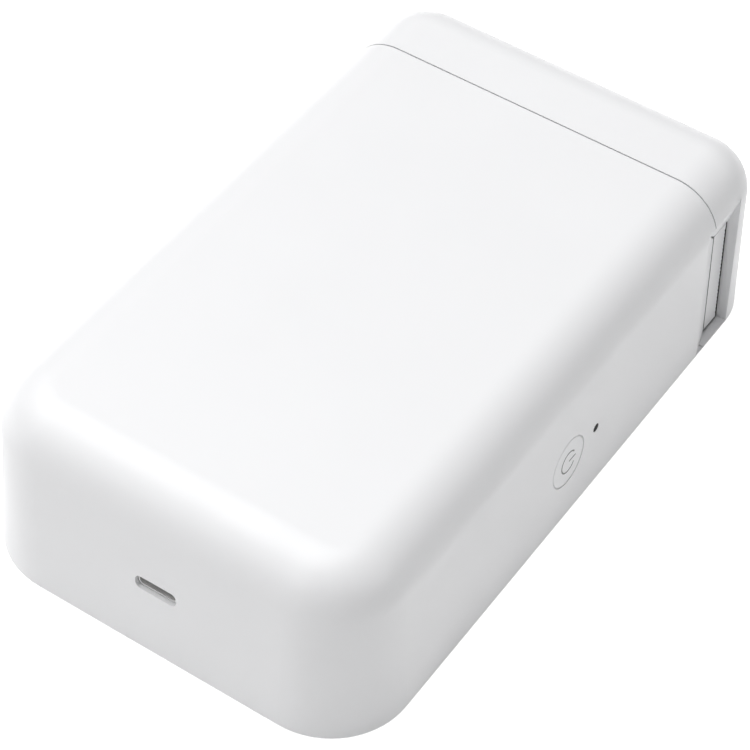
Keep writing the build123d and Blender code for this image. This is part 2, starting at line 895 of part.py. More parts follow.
# Print head: ceramic strip on an aluminium bar that turns on a pin
head_pivot_place = (head_pivot_x, head_pivot_y)
sink_front = head_face - ceramic_thickness
with BuildPart() as head_heat_sink:
    with BuildSketch(Plane.XY.offset(head_low)) as sink_outline:
        with Locations((head_pivot_x, head_back)):
            Rectangle(
                head_right - head_pivot_x, heat_sink_thickness, align=(Align.MIN, Align.MIN)
            )
        with Locations(head_pivot_place):
            Circle(head_knuckle_radius)
            Circle(head_pivot_radius + running_gap, mode=Mode.SUBTRACT)
    extrude(amount=head_high - head_low)

with BuildPart() as print_head:
    with BuildSketch(Plane.XY.offset(head_low + 0.2)):
        with Locations((platen_x - 6.4, sink_front)):
            Rectangle(
                head_right - 0.2 - platen_x + 6.4, ceramic_thickness, align=(Align.MIN, Align.MIN)
            )
        with Locations((platen_x, head_face)):
            Rectangle(1.6, 0.12, align=(Align.CENTER, Align.MIN))
    extrude(amount=head_high - head_low - 0.4)
    fillet(print_head.edges().filter_by(Axis.Z).group_by(Axis.Y)[-1], 0.1)

with BuildPart() as head_spring:
    spring_left = head_pivot_x + 5.0
    spring_right = head_right - 2.0
    spring_middle = (spring_left + spring_right) / 2
    with BuildSketch(Plane.XY.offset(11.0)):
        with BuildLine():
            ThreePointArc(
                (spring_left, head_back),
                (spring_middle, head_back - 1.4),
                (spring_right, head_back),
            )
            Line((spring_right, head_back), (spring_right - 0.7, head_back))
            ThreePointArc(
                (spring_right - 0.7, head_back),
                (spring_middle, head_back - 1.15),
                (spring_left + 0.7, head_back),
            )
            Line((spring_left + 0.7, head_back), (spring_left, head_back))
        make_face()
    extrude(amount=6.0)

with BuildPart() as head_pivot_pin:
    add(upright(base_top, plate_top, [head_pivot_place], head_pivot_radius))

flex_thickness = 0.25
flex_width = 9.0
flex_left = 20.2
flex_level = 6.2
with BuildPart() as head_flex:
    flex_start = head_back - 0.9
    flex_end = 7.4
    with BuildSketch(Plane.YZ.offset(flex_left)):
        with BuildLine():
            FilletPolyline(
                (flex_start, flex_level),
                (flex_end + 4.0, flex_level),
                (flex_end, board_low - 1.6),
                radius=2.4,
            )
        trace(line_width=flex_thickness)
    extrude(amount=flex_width)

with BuildPart() as flex_socket:
    add(
        block(
            (flex_left - 1.0, flex_end - 2.6, board_low - 1.8),
            (min(flex_left + flex_width + 1.0, board_half_width - 0.1), flex_end + 0.6, board_low),
        )
    )
    add(head_flex.part, mode=Mode.SUBTRACT)

with BuildPart() as label_sensor:
    add(block((bay_x + bay_radius + 0.6, body_end, 10.0), (head_window_left - 0.4, body_end + 1.3, 15.0)))

# Label roll on its core
with BuildPart() as label_roll:
    with BuildSketch(Plane.XY.offset(roll_low)):
        with Locations((bay_x, bay_y)):
            Circle(roll_radius)
            Circle(core_radius, mode=Mode.SUBTRACT)
    extrude(amount=roll_width)

with BuildPart() as roll_core:
    with BuildSketch(Plane.XY.offset(roll_low)):
        with Locations((bay_x, bay_y)):
            Circle(core_radius)
            Circle(core_radius - core_wall, mode=Mode.SUBTRACT)
    extrude(amount=roll_width)

# End cover: the far end of the housing, open towards the body
cover_floor_top = foot_stand + cover_floor
hook_left = -9.0
hook_right = -3.0
hook_low = 30.9
hook_thickness = 1.2
with BuildPart() as cover_hollow_block:
    add(inner_form)
    split(bisect_by=Plane.XY.offset(cover_floor_top), keep=Keep.TOP)
cover_hollow = cover_hollow_block.part

# Thicker wall behind the far side and the top of the recess
with BuildPart() as backing_block:
    add(
        wall_prism(
            [(recess_far_floor, 0), (recess_far_floor + 3.4, 0), (recess_far_floor + 3.4, 30.0), (recess_far_floor, 30.0)],
            backing_depth,
            0,
        )
    )
    add(
        wall_prism(
            [(cover_start, recess_top_floor), (recess_far_floor, recess_top_floor), (recess_far_floor, 30.0), (cover_start, 30.0)],
            backing_depth,
            0,
        )
    )
    add(outer_form, mode=Mode.INTERSECT)

with BuildPart() as end_cover:
    add(outer_form)
    add(cover_hollow, mode=Mode.SUBTRACT)
    add(backing_block.part)
    split(bisect_by=cover_start_plane, keep=Keep.TOP)
    # The hook hangs from the roof on a rib
    add(
        block(
            (hook_left, body_end - end_wall - 1.2, hook_low),
            (hook_right, cover_start + 7.0, hook_low + hook_thickness),
        )
    )
    add(
        block(
            (hook_left, cover_start, hook_low),
            (hook_right, cover_start + 7.0, foot_stand + body_height - shell_wall / 2),
        )
    )
    add(
        block(
            (hook_left, body_end - end_wall - 1.2, hook_low),
            (hook_right, body_end - end_wall - loose_gap, hook_low + hook_thickness + 0.4),
        )
    )
    add(recess_form, mode=Mode.SUBTRACT)
    add(wall_prism(window_corners, tongue_depth + 3.2, 1.0), mode=Mode.SUBTRACT)
    # Room for the body's barrels
    add(
        upright(0, knuckle_low, [hinge_place], barrel_room),
        mode=Mode.SUBTRACT,
    )
    add(
        upright(knuckle_high, foot_stand + barrel_top + barrel_gap, [hinge_place], barrel_room),
        mode=Mode.SUBTRACT,
    )
    add(barrel_form(knuckle_low + barrel_gap / 2, knuckle_high - barrel_gap / 2))
    add(
        upright(0, foot_stand + hinge_pin_length, [hinge_place], hinge_pin_radius + running_gap),
        mode=Mode.SUBTRACT,
    )

with BuildPart() as hinge_pin:
    add(
        upright(
            foot_stand + 0.6, foot_stand + hinge_pin_length, [hinge_place], hinge_pin_radius
        )
    )

# Frame in the end cover that carries the platen
frame_left = 14.0
frame_near = recess_far_floor + 0.4
frame_far = platen_y + platen_radius + loose_gap
upper_plate_level = 24.4
upper_plate_thickness = 1.2
lower_plate_top = cover_floor_top + 1.6
frame_screws = [(17.2, 57.5), (32.0, 55.8)]
with BuildPart() as cover_frame:
    add(block((frame_left, frame_near, cover_floor_top), (half_width, half_length, lower_plate_top)))
    add(
        block(
            (frame_left, frame_near, upper_plate_level),
            (half_width - 5.4, half_length, upper_plate_level + upper_plate_thickness),
        )
    )
    add(
        block(
            (frame_left, frame_far, lower_plate_top),
            (platen_x + 4.5, half_length, upper_plate_level),
        )
    )
    add(liner_form, mode=Mode.INTERSECT)
    add(
        wall_prism(
            [(recess_far_floor - 1, -1), (recess_far_floor + 4.0, -1), (recess_far_floor + 4.0, 31), (recess_far_floor - 1, 31)],
            backing_depth + loose_gap,
            1.0,
        ),
        mode=Mode.SUBTRACT,
    )
    add(
        upright(cover_floor_top, plate_top + 1, [platen_place], bush_radius), mode=Mode.SUBTRACT
    )
    add(
        upright(cover_floor_top, lower_plate_top, frame_screws, board_screw_radius + fit_gap),
        mode=Mode.SUBTRACT,
    )

with BuildPart() as frame_screw_set:
    add(upright(lower_plate_top, lower_plate_top + 0.9, frame_screws, 1.6))
    add(upright(cover_floor_top - 1.2, lower_plate_top, frame_screws, board_screw_radius))
    with BuildSketch(Plane.XY.offset(lower_plate_top + 0.9)):
        with Locations(*frame_screws):
            Rectangle(1.8, 0.4)
            Rectangle(0.4, 1.8)
    extrude(amount=-0.45, mode=Mode.SUBTRACT)

# The cover's floor takes the points of those screws
with BuildPart() as drilled_cover:
    add(end_cover.part)
    add(
        upright(cover_floor_top - 1.2, cover_floor_top, frame_screws, board_screw_radius),
        mode=Mode.SUBTRACT,
    )

with BuildPart() as platen_bushes:
    for low, high, flange_low in (
        (cover_floor_top + 0.1, lower_plate_top, lower_plate_top),
        (upper_plate_level, upper_plate_level + upper_plate_thickness, upper_plate_level - bush_flange),
    ):
        with BuildSketch(Plane(origin=(*platen_place, low))):
            Circle(bush_radius)
            Circle(platen_core_radius + running_gap, mode=Mode.SUBTRACT)
        extrude(amount=high - low)
        with BuildSketch(Plane(origin=(*platen_place, flange_low))):
            Circle(bush_flange_radius)
            Circle(platen_core_radius + running_gap, mode=Mode.SUBTRACT)
        extrude(amount=bush_flange)

with BuildPart() as platen_shaft:
    add(
        upright(
            cover_floor_top + 0.3, low_gear_level + low_gear_height + 0.3, [platen_place], platen_core_radius
        )
    )
    chamfer(platen_shaft.edges(), 0.2)

with BuildPart() as platen_roller:
    with BuildSketch(Plane(origin=(*platen_place, lower_plate_top + bush_flange + 0.1))):
        Circle(platen_radius)
        Circle(platen_core_radius, mode=Mode.SUBTRACT)
    extrude(amount=upper_plate_level - 2 * bush_flange - lower_plate_top - 0.2)

with BuildPart() as platen_gear:
    with BuildSketch(Plane(origin=(*platen_place, low_gear_level))):
        tooth_outline(platen_teeth, platen_phase)
        Circle(platen_core_radius, mode=Mode.SUBTRACT)
    extrude(amount=low_gear_height)

pieces = {
    "upper_shell": upper_shell,
    "base_plate": base_plate,
    "foot_pads": foot_pads,
    "base_screws": base_screws,
    "chassis": chassis,
    "tear_bar": tear_bar,
    "power_button": power_button,
    "power_switch": power_switch,
    "switch_plunger": switch_plunger,
    "light_pipe": light_pipe,
    "status_lamp": status_lamp,
    "charging_socket": charging_socket,
    "socket_tongue": socket_tongue,
    "main_board": main_board,
    "board_screws": board_screws,
    "board_chips": board_chips,
    "radio_module": radio_module,
    "wire_sockets": wire_sockets,
    "battery_pack": battery_pack,
    "battery_leads": battery_leads,
    "feed_motor": feed_motor,
    "motor_leads": motor_leads,
    "gear_plate": gear_plate,
    "plate_screws": plate_screws,
    "gear_axles": gear_axles,
    "idler_gear": idler_gear,
    "reduction_gear": reduction_gear,
    "motor_pinion": motor_pinion,
    "head_heat_sink": head_heat_sink,
    "print_head": print_head,
    "head_spring": head_spring,
    "head_pivot_pin": head_pivot_pin,
    "head_flex": head_flex,
    "flex_socket": flex_socket,
    "label_sensor": label_sensor,
    "label_roll": label_roll,
    "roll_core": roll_core,
    "end_cover": drilled_cover,
    "hinge_pin": hinge_pin,
    "cover_frame": cover_frame,
    "frame_screws": frame_screw_set,
    "platen_bushes": platen_bushes,
    "platen_shaft": platen_shaft,
    "platen_roller": platen_roller,
    "platen_gear": platen_gear,
}

os.makedirs("parts", exist_ok=True)
for label, piece in pieces.items():
    piece.part.label = label
    export_step(piece.part, f"parts/{label}.step")
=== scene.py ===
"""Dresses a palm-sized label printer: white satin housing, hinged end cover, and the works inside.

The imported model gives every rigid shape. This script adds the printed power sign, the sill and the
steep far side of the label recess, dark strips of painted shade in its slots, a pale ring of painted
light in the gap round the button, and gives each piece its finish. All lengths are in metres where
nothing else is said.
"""
import math

import bmesh
import bpy
import numpy as np
from mathutils import Matrix, Vector
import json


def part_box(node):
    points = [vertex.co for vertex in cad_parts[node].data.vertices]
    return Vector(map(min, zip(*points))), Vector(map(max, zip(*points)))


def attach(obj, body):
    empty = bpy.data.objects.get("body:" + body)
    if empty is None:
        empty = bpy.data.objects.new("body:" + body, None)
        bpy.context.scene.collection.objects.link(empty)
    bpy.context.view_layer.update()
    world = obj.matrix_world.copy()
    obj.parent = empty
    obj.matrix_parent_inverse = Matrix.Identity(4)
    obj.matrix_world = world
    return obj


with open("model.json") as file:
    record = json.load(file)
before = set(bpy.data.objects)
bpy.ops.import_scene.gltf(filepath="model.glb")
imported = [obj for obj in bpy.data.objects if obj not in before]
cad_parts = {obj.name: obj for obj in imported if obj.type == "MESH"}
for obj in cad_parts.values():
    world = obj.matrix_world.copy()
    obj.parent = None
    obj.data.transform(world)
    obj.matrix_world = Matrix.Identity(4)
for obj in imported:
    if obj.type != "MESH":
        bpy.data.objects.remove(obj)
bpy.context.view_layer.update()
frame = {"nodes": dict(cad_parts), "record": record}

MM = 0.001

# The right wall: its lean from upright, the distance of its foot from the middle, and the feet's height
WALL_LEAN = math.radians(2.75)
HALF_WIDTH = 38.5 * MM
FOOT_STAND = 0.4 * MM

# The power button on that wall: its middle along the wall and up it, and the gap round it
BUTTON_Y, BUTTON_UP = -2.2 * MM, 13.9 * MM
GAP_MIDDLE, GAP_HALF_WIDTH = 4.85 * MM, 0.095 * MM
# The pale ring of painted light in that gap: its depth below the face, and half its own depth
GAP_RING_DEPTH, GAP_RING_HALF_DEPTH = 0.34 * MM, 0.24 * MM

# The sign on the button: the ring's radius and half its opening, the strokes, and the bar's two ends
SIGN_RADIUS, SIGN_OPENING = 2.1 * MM, math.radians(34)
STROKE_WIDTH, STROKE_HEIGHT = 0.3 * MM, 0.02 * MM
BAR_START, BAR_END = 0.15 * MM, 2.25 * MM

# The label recess in that wall, in millimetres along the wall, up it and into it
RECESS_NEAR, FLOOR_NEAR, FLOOR_FAR, RECESS_FAR = 42.5, 48.4, 53.4, 54.2
FLOOR_TOP, FACE_TOP, RECESS_DEPTH = 24.0, 29.8, 1.9
BOTTOM_ROUND, SILL_TOP, SEAM_NEAR, SEAM_FAR = 0.9, 0.85, 45.1, 45.4
FAR_EDGE_FOOT, FAR_EDGE_TOP = 53.45, 53.85

# How deep the added pieces lie under the wall's face, and the sine at which the sill's foot starts
SKIN, FOOT_SINE = 0.01, 0.12


# Shader maths

class Signal:
    """One number out of a node, so that arithmetic on it adds the Math nodes it needs."""

    def __init__(self, finish, socket):
        self.finish = finish
        self.socket = socket

    def _join(self, operation, *values):
        made = self.finish.node("ShaderNodeMath", {"operation": operation}, dict(enumerate(values)))
        return Signal(self.finish, made.outputs[0])

    def __add__(self, other):
        return self._join("ADD", self, other)

    def __sub__(self, other):
        return self._join("SUBTRACT", self, other)

    def __mul__(self, other):
        return self._join("MULTIPLY", self, other)

    def __radd__(self, other):
        return self._join("ADD", other, self)

    def __rsub__(self, other):
        return self._join("SUBTRACT", other, self)

    def __rmul__(self, other):
        return self._join("MULTIPLY", other, self)

    def above(self, level):
        return self._join("GREATER_THAN", self, level)

    def below(self, level):
        return self._join("LESS_THAN", self, level)

    def part(self):
        return self._join("FRACT", self)

    def highest(self, other):
        return self._join("MAXIMUM", self, other)


class Finish:
    """A material: its node tree, one Principled shader, and the few patterns that the finishes share."""

    def __init__(self, name, **settings):
        self.material = bpy.data.materials.new(name)
        self.material.use_nodes = True
        self.tree = self.material.node_tree
        self.shader = self.tree.nodes["Principled BSDF"]
        self.place = self.node("ShaderNodeTexCoord").outputs["Object"]
        for socket, value in settings.items():
            self.set(socket.replace("_", " "), value)

    def node(self, kind, settings=None, values=None):
        """Adds a node, with its settings made first and then its sockets' values or links."""
        made = self.tree.nodes.new(kind)
        for name, value in (settings or {}).items():
            setattr(made, name, value)
        for key, value in (values or {}).items():
            self.feed(made.inputs[key], value)
        return made

    def feed(self, socket, value):
        if isinstance(value, Signal):
            value = value.socket
        if isinstance(value, bpy.types.NodeSocket):
            self.tree.links.new(value, socket)
        elif socket.type == "RGBA" and len(value) == 3:
            socket.default_value = (*value, 1.0)
        else:
            socket.default_value = value

    def set(self, name, value):
        self.feed(self.shader.inputs[name], value)

    def noise(self, per_metre, detail=3.0, roughness=0.55, stretch=None):
        """Smooth noise from 0 to 1, with that many lumps in a metre, stretched by axis if asked."""
        place = self.place
        if stretch is not None:
            place = self.node("ShaderNodeMapping", {}, {"Vector": place, "Scale": stretch}).outputs[0]
        made = self.node("ShaderNodeTexNoise", {}, {
            "Vector": place, "Scale": per_metre, "Detail": detail, "Roughness": roughness})
        return Signal(self, made.outputs["Fac"])

    def cells(self, per_metre):
        """Distance to the nearest of scattered points, with that many points in a metre."""
        made = self.node("ShaderNodeTexVoronoi", {}, {"Vector": self.place, "Scale": per_metre})
        return Signal(self, made.outputs["Distance"])

    def along(self, axis):
        """The distance in metres along one axis of the object."""
        split = self.node("ShaderNodeSeparateXYZ", {}, {0: self.place})
        return Signal(self, split.outputs[axis])

    def ramp(self, signal, low, high, start=0.0, end=1.0):
        """Maps low..high of a signal onto start..end, held at both ends."""
        made = self.node("ShaderNodeMapRange", {"clamp": True}, {
            "Value": signal, "From Min": low, "From Max": high, "To Min": start, "To Max": end})
        return Signal(self, made.outputs[0])

    def blend(self, share, first, second):
        made = self.node("ShaderNodeMix", {"data_type": "RGBA"}, {
            "Factor": share, 6: first, 7: second})
        return made.outputs[2]

    def bump(self, height, distance):
        """Raises the surface by that distance in metres where the height is 1."""
        made = self.node("ShaderNodeBump", {}, {"Height": height, "Distance": distance})
        self.set("Normal", made.outputs[0])
        return self


def shade(colour, factor):
    """The colour made that much lighter or darker."""
    return tuple(min(1.0, part * factor) for part in colour)


# Finishes

def moulded(name, colour, roughness, grain=5200, depth=0.000006, flow=0.012, coat=0.0, gloss=0.5):
    """Injection-moulded plastic: fine spark-eroded grain, faint cloudy flow, rubbed patches."""
    finish = Finish(name, Coat_Weight=coat, Coat_Roughness=0.2, Specular_IOR_Level=gloss)
    flow_marks = finish.noise(38, 2.0)
    fine = finish.noise(grain, 2.0)
    rubbed = finish.noise(95, 4.0, 0.6)
    finish.set("Base Color", finish.blend(flow_marks, shade(colour, 1 - flow), shade(colour, 1 + flow)))
    finish.set("Roughness", finish.ramp(rubbed, 0.35, 0.7, roughness - 0.035, roughness + 0.045))
    return finish.bump(fine, depth)


def metal(name, colour, roughness, brushed=None):
    """Bare metal: hairlines along the brushed axis and a cloudy tone."""
    finish = Finish(name, Metallic=1.0)
    hair = finish.noise(900, 3.0, 0.6, brushed)
    cloud = finish.noise(260, 3.0)
    finish.set("Base Color", finish.blend(cloud, shade(colour, 0.94), shade(colour, 1.06)))
    finish.set("Roughness", finish.ramp(hair, 0.3, 0.7, roughness - 0.06, roughness + 0.08))
    return finish.bump(hair, 0.000004)


def sleeve_steel():
    """Satin-plated steel of the socket's sleeve: soft hairlines and a pale, even sheen."""
    finish = Finish("socket_steel", Metallic=0.45)
    hair = finish.noise(900, 3.0, 0.6, (0.4, 3, 1))
    finish.set("Base Color", finish.blend(hair, (0.74, 0.735, 0.73), (0.82, 0.815, 0.81)))
    finish.set("Roughness", finish.ramp(hair, 0.3, 0.7, 0.42, 0.58))
    return finish.bump(hair, 0.000004)


def soft_rubber(name, colour):
    """Moulded rubber: dusty mottling and a fine matt grain."""
    finish = Finish(name)
    dust = finish.noise(420, 5.0, 0.65)
    fine = finish.noise(6500, 2.0)
    finish.set("Base Color", finish.blend(dust, shade(colour, 0.88), shade(colour, 1.22)))
    finish.set("Roughness", finish.ramp(dust, 0.3, 0.7, 0.66, 0.82))
    return finish.bump(fine, 0.00001)


def roller_rubber():
    """Ground silicone rubber of the platen: fine rings round its axis and paper dust."""
    finish = Finish("platen_rubber", Roughness=0.6)
    rings = finish.noise(1, 2.0, 0.5, (60, 60, 9000))
    dust = finish.noise(700, 4.0)
    colour = (0.028, 0.028, 0.03)
    finish.set("Base Color", finish.blend(finish.ramp(dust, 0.5, 0.8), colour, (0.075, 0.074, 0.07)))
    finish.set("Roughness", finish.ramp(dust, 0.3, 0.7, 0.5, 0.68))
    return finish.bump(rings, 0.00001)


def paper_edges():
    """Wound label stock: fine upright streaks of tone for its layers, and a satin fibrous face."""
    finish = Finish("label_paper", Roughness=0.6)
    fibre = finish.noise(2600, 4.0, 0.6)
    layers = finish.noise(1, 3.0, 0.6, (900, 900, 40))
    white = (0.87, 0.87, 0.85)
    finish.set("Base Color", finish.blend(layers, shade(white, 0.93), shade(white, 1.03)))
    finish.set("Roughness", finish.ramp(fibre, 0.3, 0.7, 0.52, 0.68))
    return finish.bump(fibre, 0.000008)


def grey_board():
    """Wound grey-brown board of the roll's core, with flecks of fibre."""
    finish = Finish("core_board", Roughness=0.85)
    fleck = finish.noise(1500, 5.0, 0.7)
    colour = (0.42, 0.31, 0.20)
    finish.set("Base Color", finish.blend(fleck, shade(colour, 0.75), shade(colour, 1.25)))
    return finish.bump(fleck, 0.00002)


def solder_mask():
    """Green lacquered board: copper tracks just visible under the lacquer, and tinned dots."""
    finish = Finish("board_green", Coat_Weight=0.4, Coat_Roughness=0.12)
    across = (finish.along("X") * 620 + finish.noise(60, 1.0) * 2.0).part()
    along = (finish.along("Z") * 540 + finish.noise(45, 1.0) * 2.0).part()
    tracks = across.above(0.7).highest(along.above(0.78))
    pads = finish.cells(300).below(0.12)
    base = finish.blend(tracks, (0.012, 0.10, 0.045), (0.022, 0.17, 0.075))
    finish.set("Base Color", finish.blend(pads, base, (0.62, 0.62, 0.60)))
    finish.set("Metallic", pads * 0.9)
    finish.set("Roughness", 0.34 - pads * 0.1)
    return finish.bump(tracks.highest(pads), 0.00002)


def pouch_foil():
    """The battery's pouch: dull silver foil with soft wrinkles."""
    finish = Finish("battery_foil", Metallic=0.85)
    wrinkle = finish.noise(170, 4.0, 0.6, (1.0, 0.5, 1.0))
    colour = (0.50, 0.53, 0.57)
    finish.set("Base Color", finish.blend(wrinkle, shade(colour, 0.9), shade(colour, 1.08)))
    finish.set("Roughness", finish.ramp(wrinkle, 0.3, 0.7, 0.3, 0.46))
    return finish.bump(wrinkle, 0.00012)


def polyimide():
    """Amber film of the head's cable, with copper lines showing through it."""
    finish = Finish("flex_film", Roughness=0.3, Coat_Weight=0.3, Coat_Roughness=0.1)
    lines = (finish.along("Z") * 1400).part().above(0.5)
    tone = finish.noise(300, 3.0)
    amber = finish.blend(tone, (0.30, 0.11, 0.012), (0.38, 0.16, 0.02))
    finish.set("Base Color", finish.blend(lines, amber, (0.50, 0.26, 0.07)))
    return finish.bump(lines, 0.00001)


def lead_sleeves():
    """The battery's two leads: red on one side of the pair's middle line, black on the other."""
    finish = Finish("lead_insulation", Roughness=0.42)
    low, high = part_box("battery_leads")
    side = finish.along("X").above((low.x + high.x) / 2)
    tone = finish.noise(900, 3.0)
    red = finish.blend(tone, (0.42, 0.018, 0.016), (0.52, 0.03, 0.025))
    finish.set("Base Color", finish.blend(side, red, (0.02, 0.02, 0.021)))
    return finish.bump(tone, 0.00001)


def ribbon_sleeves():
    """Flat grey ribbon of the motor's wires, with a ridge for each wire."""
    finish = Finish("ribbon_insulation", Roughness=0.45)
    ridges = (finish.along("Z") * 1000).part()
    tone = finish.noise(800, 3.0)
    finish.set("Base Color", finish.blend(tone, (0.34, 0.34, 0.36), (0.42, 0.42, 0.44)))
    return finish.bump(ridges, 0.00005)


def glazed_ceramic():
    """The print head's glazed plate: dark, glossy, with fine gold leads up to the hot line."""
    finish = Finish("head_ceramic", Roughness=0.14, Coat_Weight=0.6, Coat_Roughness=0.05)
    leads = (finish.along("Z") * 2600).part().above(0.55)
    tone = finish.noise(500, 3.0)
    dark = finish.blend(tone, (0.012, 0.013, 0.016), (0.02, 0.021, 0.025))
    finish.set("Base Color", finish.blend(leads * 0.35, dark, (0.50, 0.36, 0.16)))
    return finish.bump(leads, 0.000002)


def smoked_pipe():
    """Smoke-dark clear plastic of the status light."""
    finish = Finish("smoked_plastic", IOR=1.3, Specular_IOR_Level=0.1)
    tone = finish.noise(700, 2.0)
    finish.set("Base Color", finish.blend(tone, (0.001, 0.001, 0.001), (0.003, 0.003, 0.003)))
    finish.set("Roughness", finish.ramp(tone, 0.3, 0.7, 0.35, 0.5))
    return finish.bump(tone, 0.000002)


def lamp_resin():
    """Pale yellow resin of the status lamp."""
    finish = Finish("lamp_resin", Roughness=0.2, Coat_Weight=0.4)
    tone = finish.noise(900, 3.0)
    finish.set("Base Color", finish.blend(tone, (0.80, 0.78, 0.58), (0.86, 0.84, 0.66)))
    return finish.bump(tone, 0.000003)


def nylon(name, colour):
    """Nylon or acetal of the gears and bushes: waxy, a little see-through, with smears of grease."""
    finish = Finish(name, Subsurface_Weight=0.12, Subsurface_Scale=0.0008, Coat_Weight=0.15)
    tone = finish.noise(240, 3.0)
    grease = finish.noise(520, 4.0)
    finish.set("Base Color", finish.blend(tone, shade(colour, 0.95), shade(colour, 1.04)))
    finish.set("Roughness", finish.ramp(grease, 0.35, 0.65, 0.22, 0.42))
    return finish.bump(finish.noise(4200, 2.0), 0.000005)


def printed_ink():
    """Dark grey pad-printed ink of the power sign, a little uneven."""
    finish = Finish("mark_ink", Roughness=0.5)
    tone = finish.noise(2500, 4.0)
    finish.set("Base Color", finish.blend(tone, (0.14, 0.14, 0.135), (0.2, 0.2, 0.19)))
    return finish.bump(tone, 0.000002)


STEEL = (0.56, 0.57, 0.58)

FINISHES = {
    "shell_plastic": lambda: moulded("shell_plastic", (0.86, 0.862, 0.873), 0.42, coat=0.06),
    "frame_plastic": lambda: moulded("frame_plastic", (0.028, 0.028, 0.031), 0.5, 3800, 0.00001, 0.06),
    "foot_rubber": lambda: soft_rubber("foot_rubber", (0.27, 0.27, 0.28)),
    "fastener_steel": lambda: metal("fastener_steel", STEEL, 0.32, (1, 1, 0.3)),
    "shaft_steel": lambda: metal("shaft_steel", (0.63, 0.63, 0.64), 0.2, (1, 1, 6)),
    "spring_steel": lambda: metal("spring_steel", (0.52, 0.54, 0.57), 0.3, (0.3, 1, 1)),
    "plate_steel": lambda: metal("plate_steel", (0.60, 0.61, 0.61), 0.34, (6, 0.4, 1)),
    "motor_steel": lambda: metal("motor_steel", (0.45, 0.45, 0.46), 0.36, (1, 1, 5)),
    "socket_steel": sleeve_steel,
    "black_plastic": lambda: moulded(
        "black_plastic", (0.012, 0.012, 0.013), 0.5, 4200, 0.000008, 0.12, gloss=0.15),
    "smoked_plastic": smoked_pipe,
    "lamp_resin": lamp_resin,
    "switch_metal": lambda: metal("switch_metal", (0.66, 0.66, 0.66), 0.3),
    "board_green": solder_mask,
    "shield_metal": lambda: metal("shield_metal", (0.66, 0.66, 0.67), 0.3, (5, 1, 1)),
    "ivory_plastic": lambda: moulded("ivory_plastic", (0.80, 0.76, 0.62), 0.45),
    "battery_foil": pouch_foil,
    "lead_insulation": lead_sleeves,
    "ribbon_insulation": ribbon_sleeves,
    "flex_film": polyimide,
    "gear_plastic": lambda: nylon("gear_plastic", (0.78, 0.77, 0.70)),
    "pinion_brass": lambda: metal("pinion_brass", (0.72, 0.52, 0.20), 0.26, (1, 1, 4)),
    "bush_plastic": lambda: nylon("bush_plastic", (0.04, 0.04, 0.042)),
    "sink_aluminium": lambda: metal("sink_aluminium", (0.70, 0.71, 0.72), 0.3, (8, 1, 0.5)),
    "head_ceramic": glazed_ceramic,
    "platen_rubber": roller_rubber,
    "label_paper": paper_edges,
    "core_board": grey_board,
}


def dress_nodes():
    """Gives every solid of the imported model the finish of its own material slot."""
    slot_of = {part["node"]: part["material_slot"] for part in frame["record"]["subparts"]}
    made = {}
    for name, piece in frame["nodes"].items():
        slot = slot_of[name]
        if slot not in made:
            made[slot] = FINISHES[slot]().material
        piece.data.materials.clear()
        piece.data.materials.append(made[slot])
    return made


# New pieces

def grid_mesh(name, points, closed_u=False, closed_v=False):
    """A grid of points (rows, columns, 3) as a quad mesh, joined round where a direction is closed."""
    rows, columns = points.shape[:2]
    i, j = np.meshgrid(
        np.arange(rows if closed_u else rows - 1), np.arange(columns if closed_v else columns - 1),
        indexing="ij")
    after_i, after_j = (i + 1) % rows, (j + 1) % columns
    corners = [i * columns + j, after_i * columns + j, after_i * columns + after_j, i * columns + after_j]
    faces = np.stack([corner.ravel() for corner in corners], 1)
    mesh = bpy.data.meshes.new(name)
    mesh.from_pydata(points.reshape(-1, 3).tolist(), [], faces.tolist())
    return mesh


def link_object(name, mesh, material):
    """Puts a mesh with its material into the scene as an object at the origin."""
    mesh.materials.append(material)
    shown = bpy.data.objects.new(name, mesh)
    bpy.context.scene.collection.objects.link(shown)
    return shown


def add_piece(mesh, material, body):
    """Shows a mesh as a piece of its own name, which moves with a body and has a slot's finish."""
    piece = link_object(mesh.name, mesh, material)
    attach(piece, body)


def wall_point(along, up, out):
    """A point of the right wall: along the body, up the leaning wall, and out of its face.

    With the lean a, it is x = half width - up sin a + out cos a, y = along, and
    z = height of the feet + up cos a + out sin a.
    """
    return np.stack([
        HALF_WIDTH - up * math.sin(WALL_LEAN) + out * math.cos(WALL_LEAN),
        along + 0 * up,
        FOOT_STAND + up * math.cos(WALL_LEAN) + out * math.sin(WALL_LEAN)], -1)


def flat_stroke(centre_line, width, thick):
    """A low closed band along a line on the wall: (along, up) points, with a flattened oval section.

    At each point the section is a flattened oval across the line, width wide and thick high. At the
    turn t it is centre + side * c * width / 2 + out * sin(t) * thick, where c is the square root of
    cos(t) with the sign of cos(t).
    """
    step = np.gradient(centre_line, axis=0)
    step /= np.linalg.norm(step, axis=1)[:, None]
    side = np.stack([-step[:, 1], step[:, 0]], 1)
    turn = np.linspace(0, 2 * np.pi, 12, endpoint=False)
    across = np.sign(np.cos(turn)) * np.abs(np.cos(turn)) ** 0.5 * width / 2
    flat = centre_line[:, None, :] + side[:, None, :] * across[None, :, None]
    out = np.broadcast_to(np.sin(turn) * thick, flat.shape[:2])
    return wall_point(flat[..., 0], flat[..., 1], out)


def wall_stroke(name, centre_line, ink):
    """One stroke of the printed sign, which rides on the button."""
    mesh = grid_mesh(name, flat_stroke(centre_line, STROKE_WIDTH, STROKE_HEIGHT), closed_v=True)
    mesh.shade_smooth()
    add_piece(mesh, ink, "button")


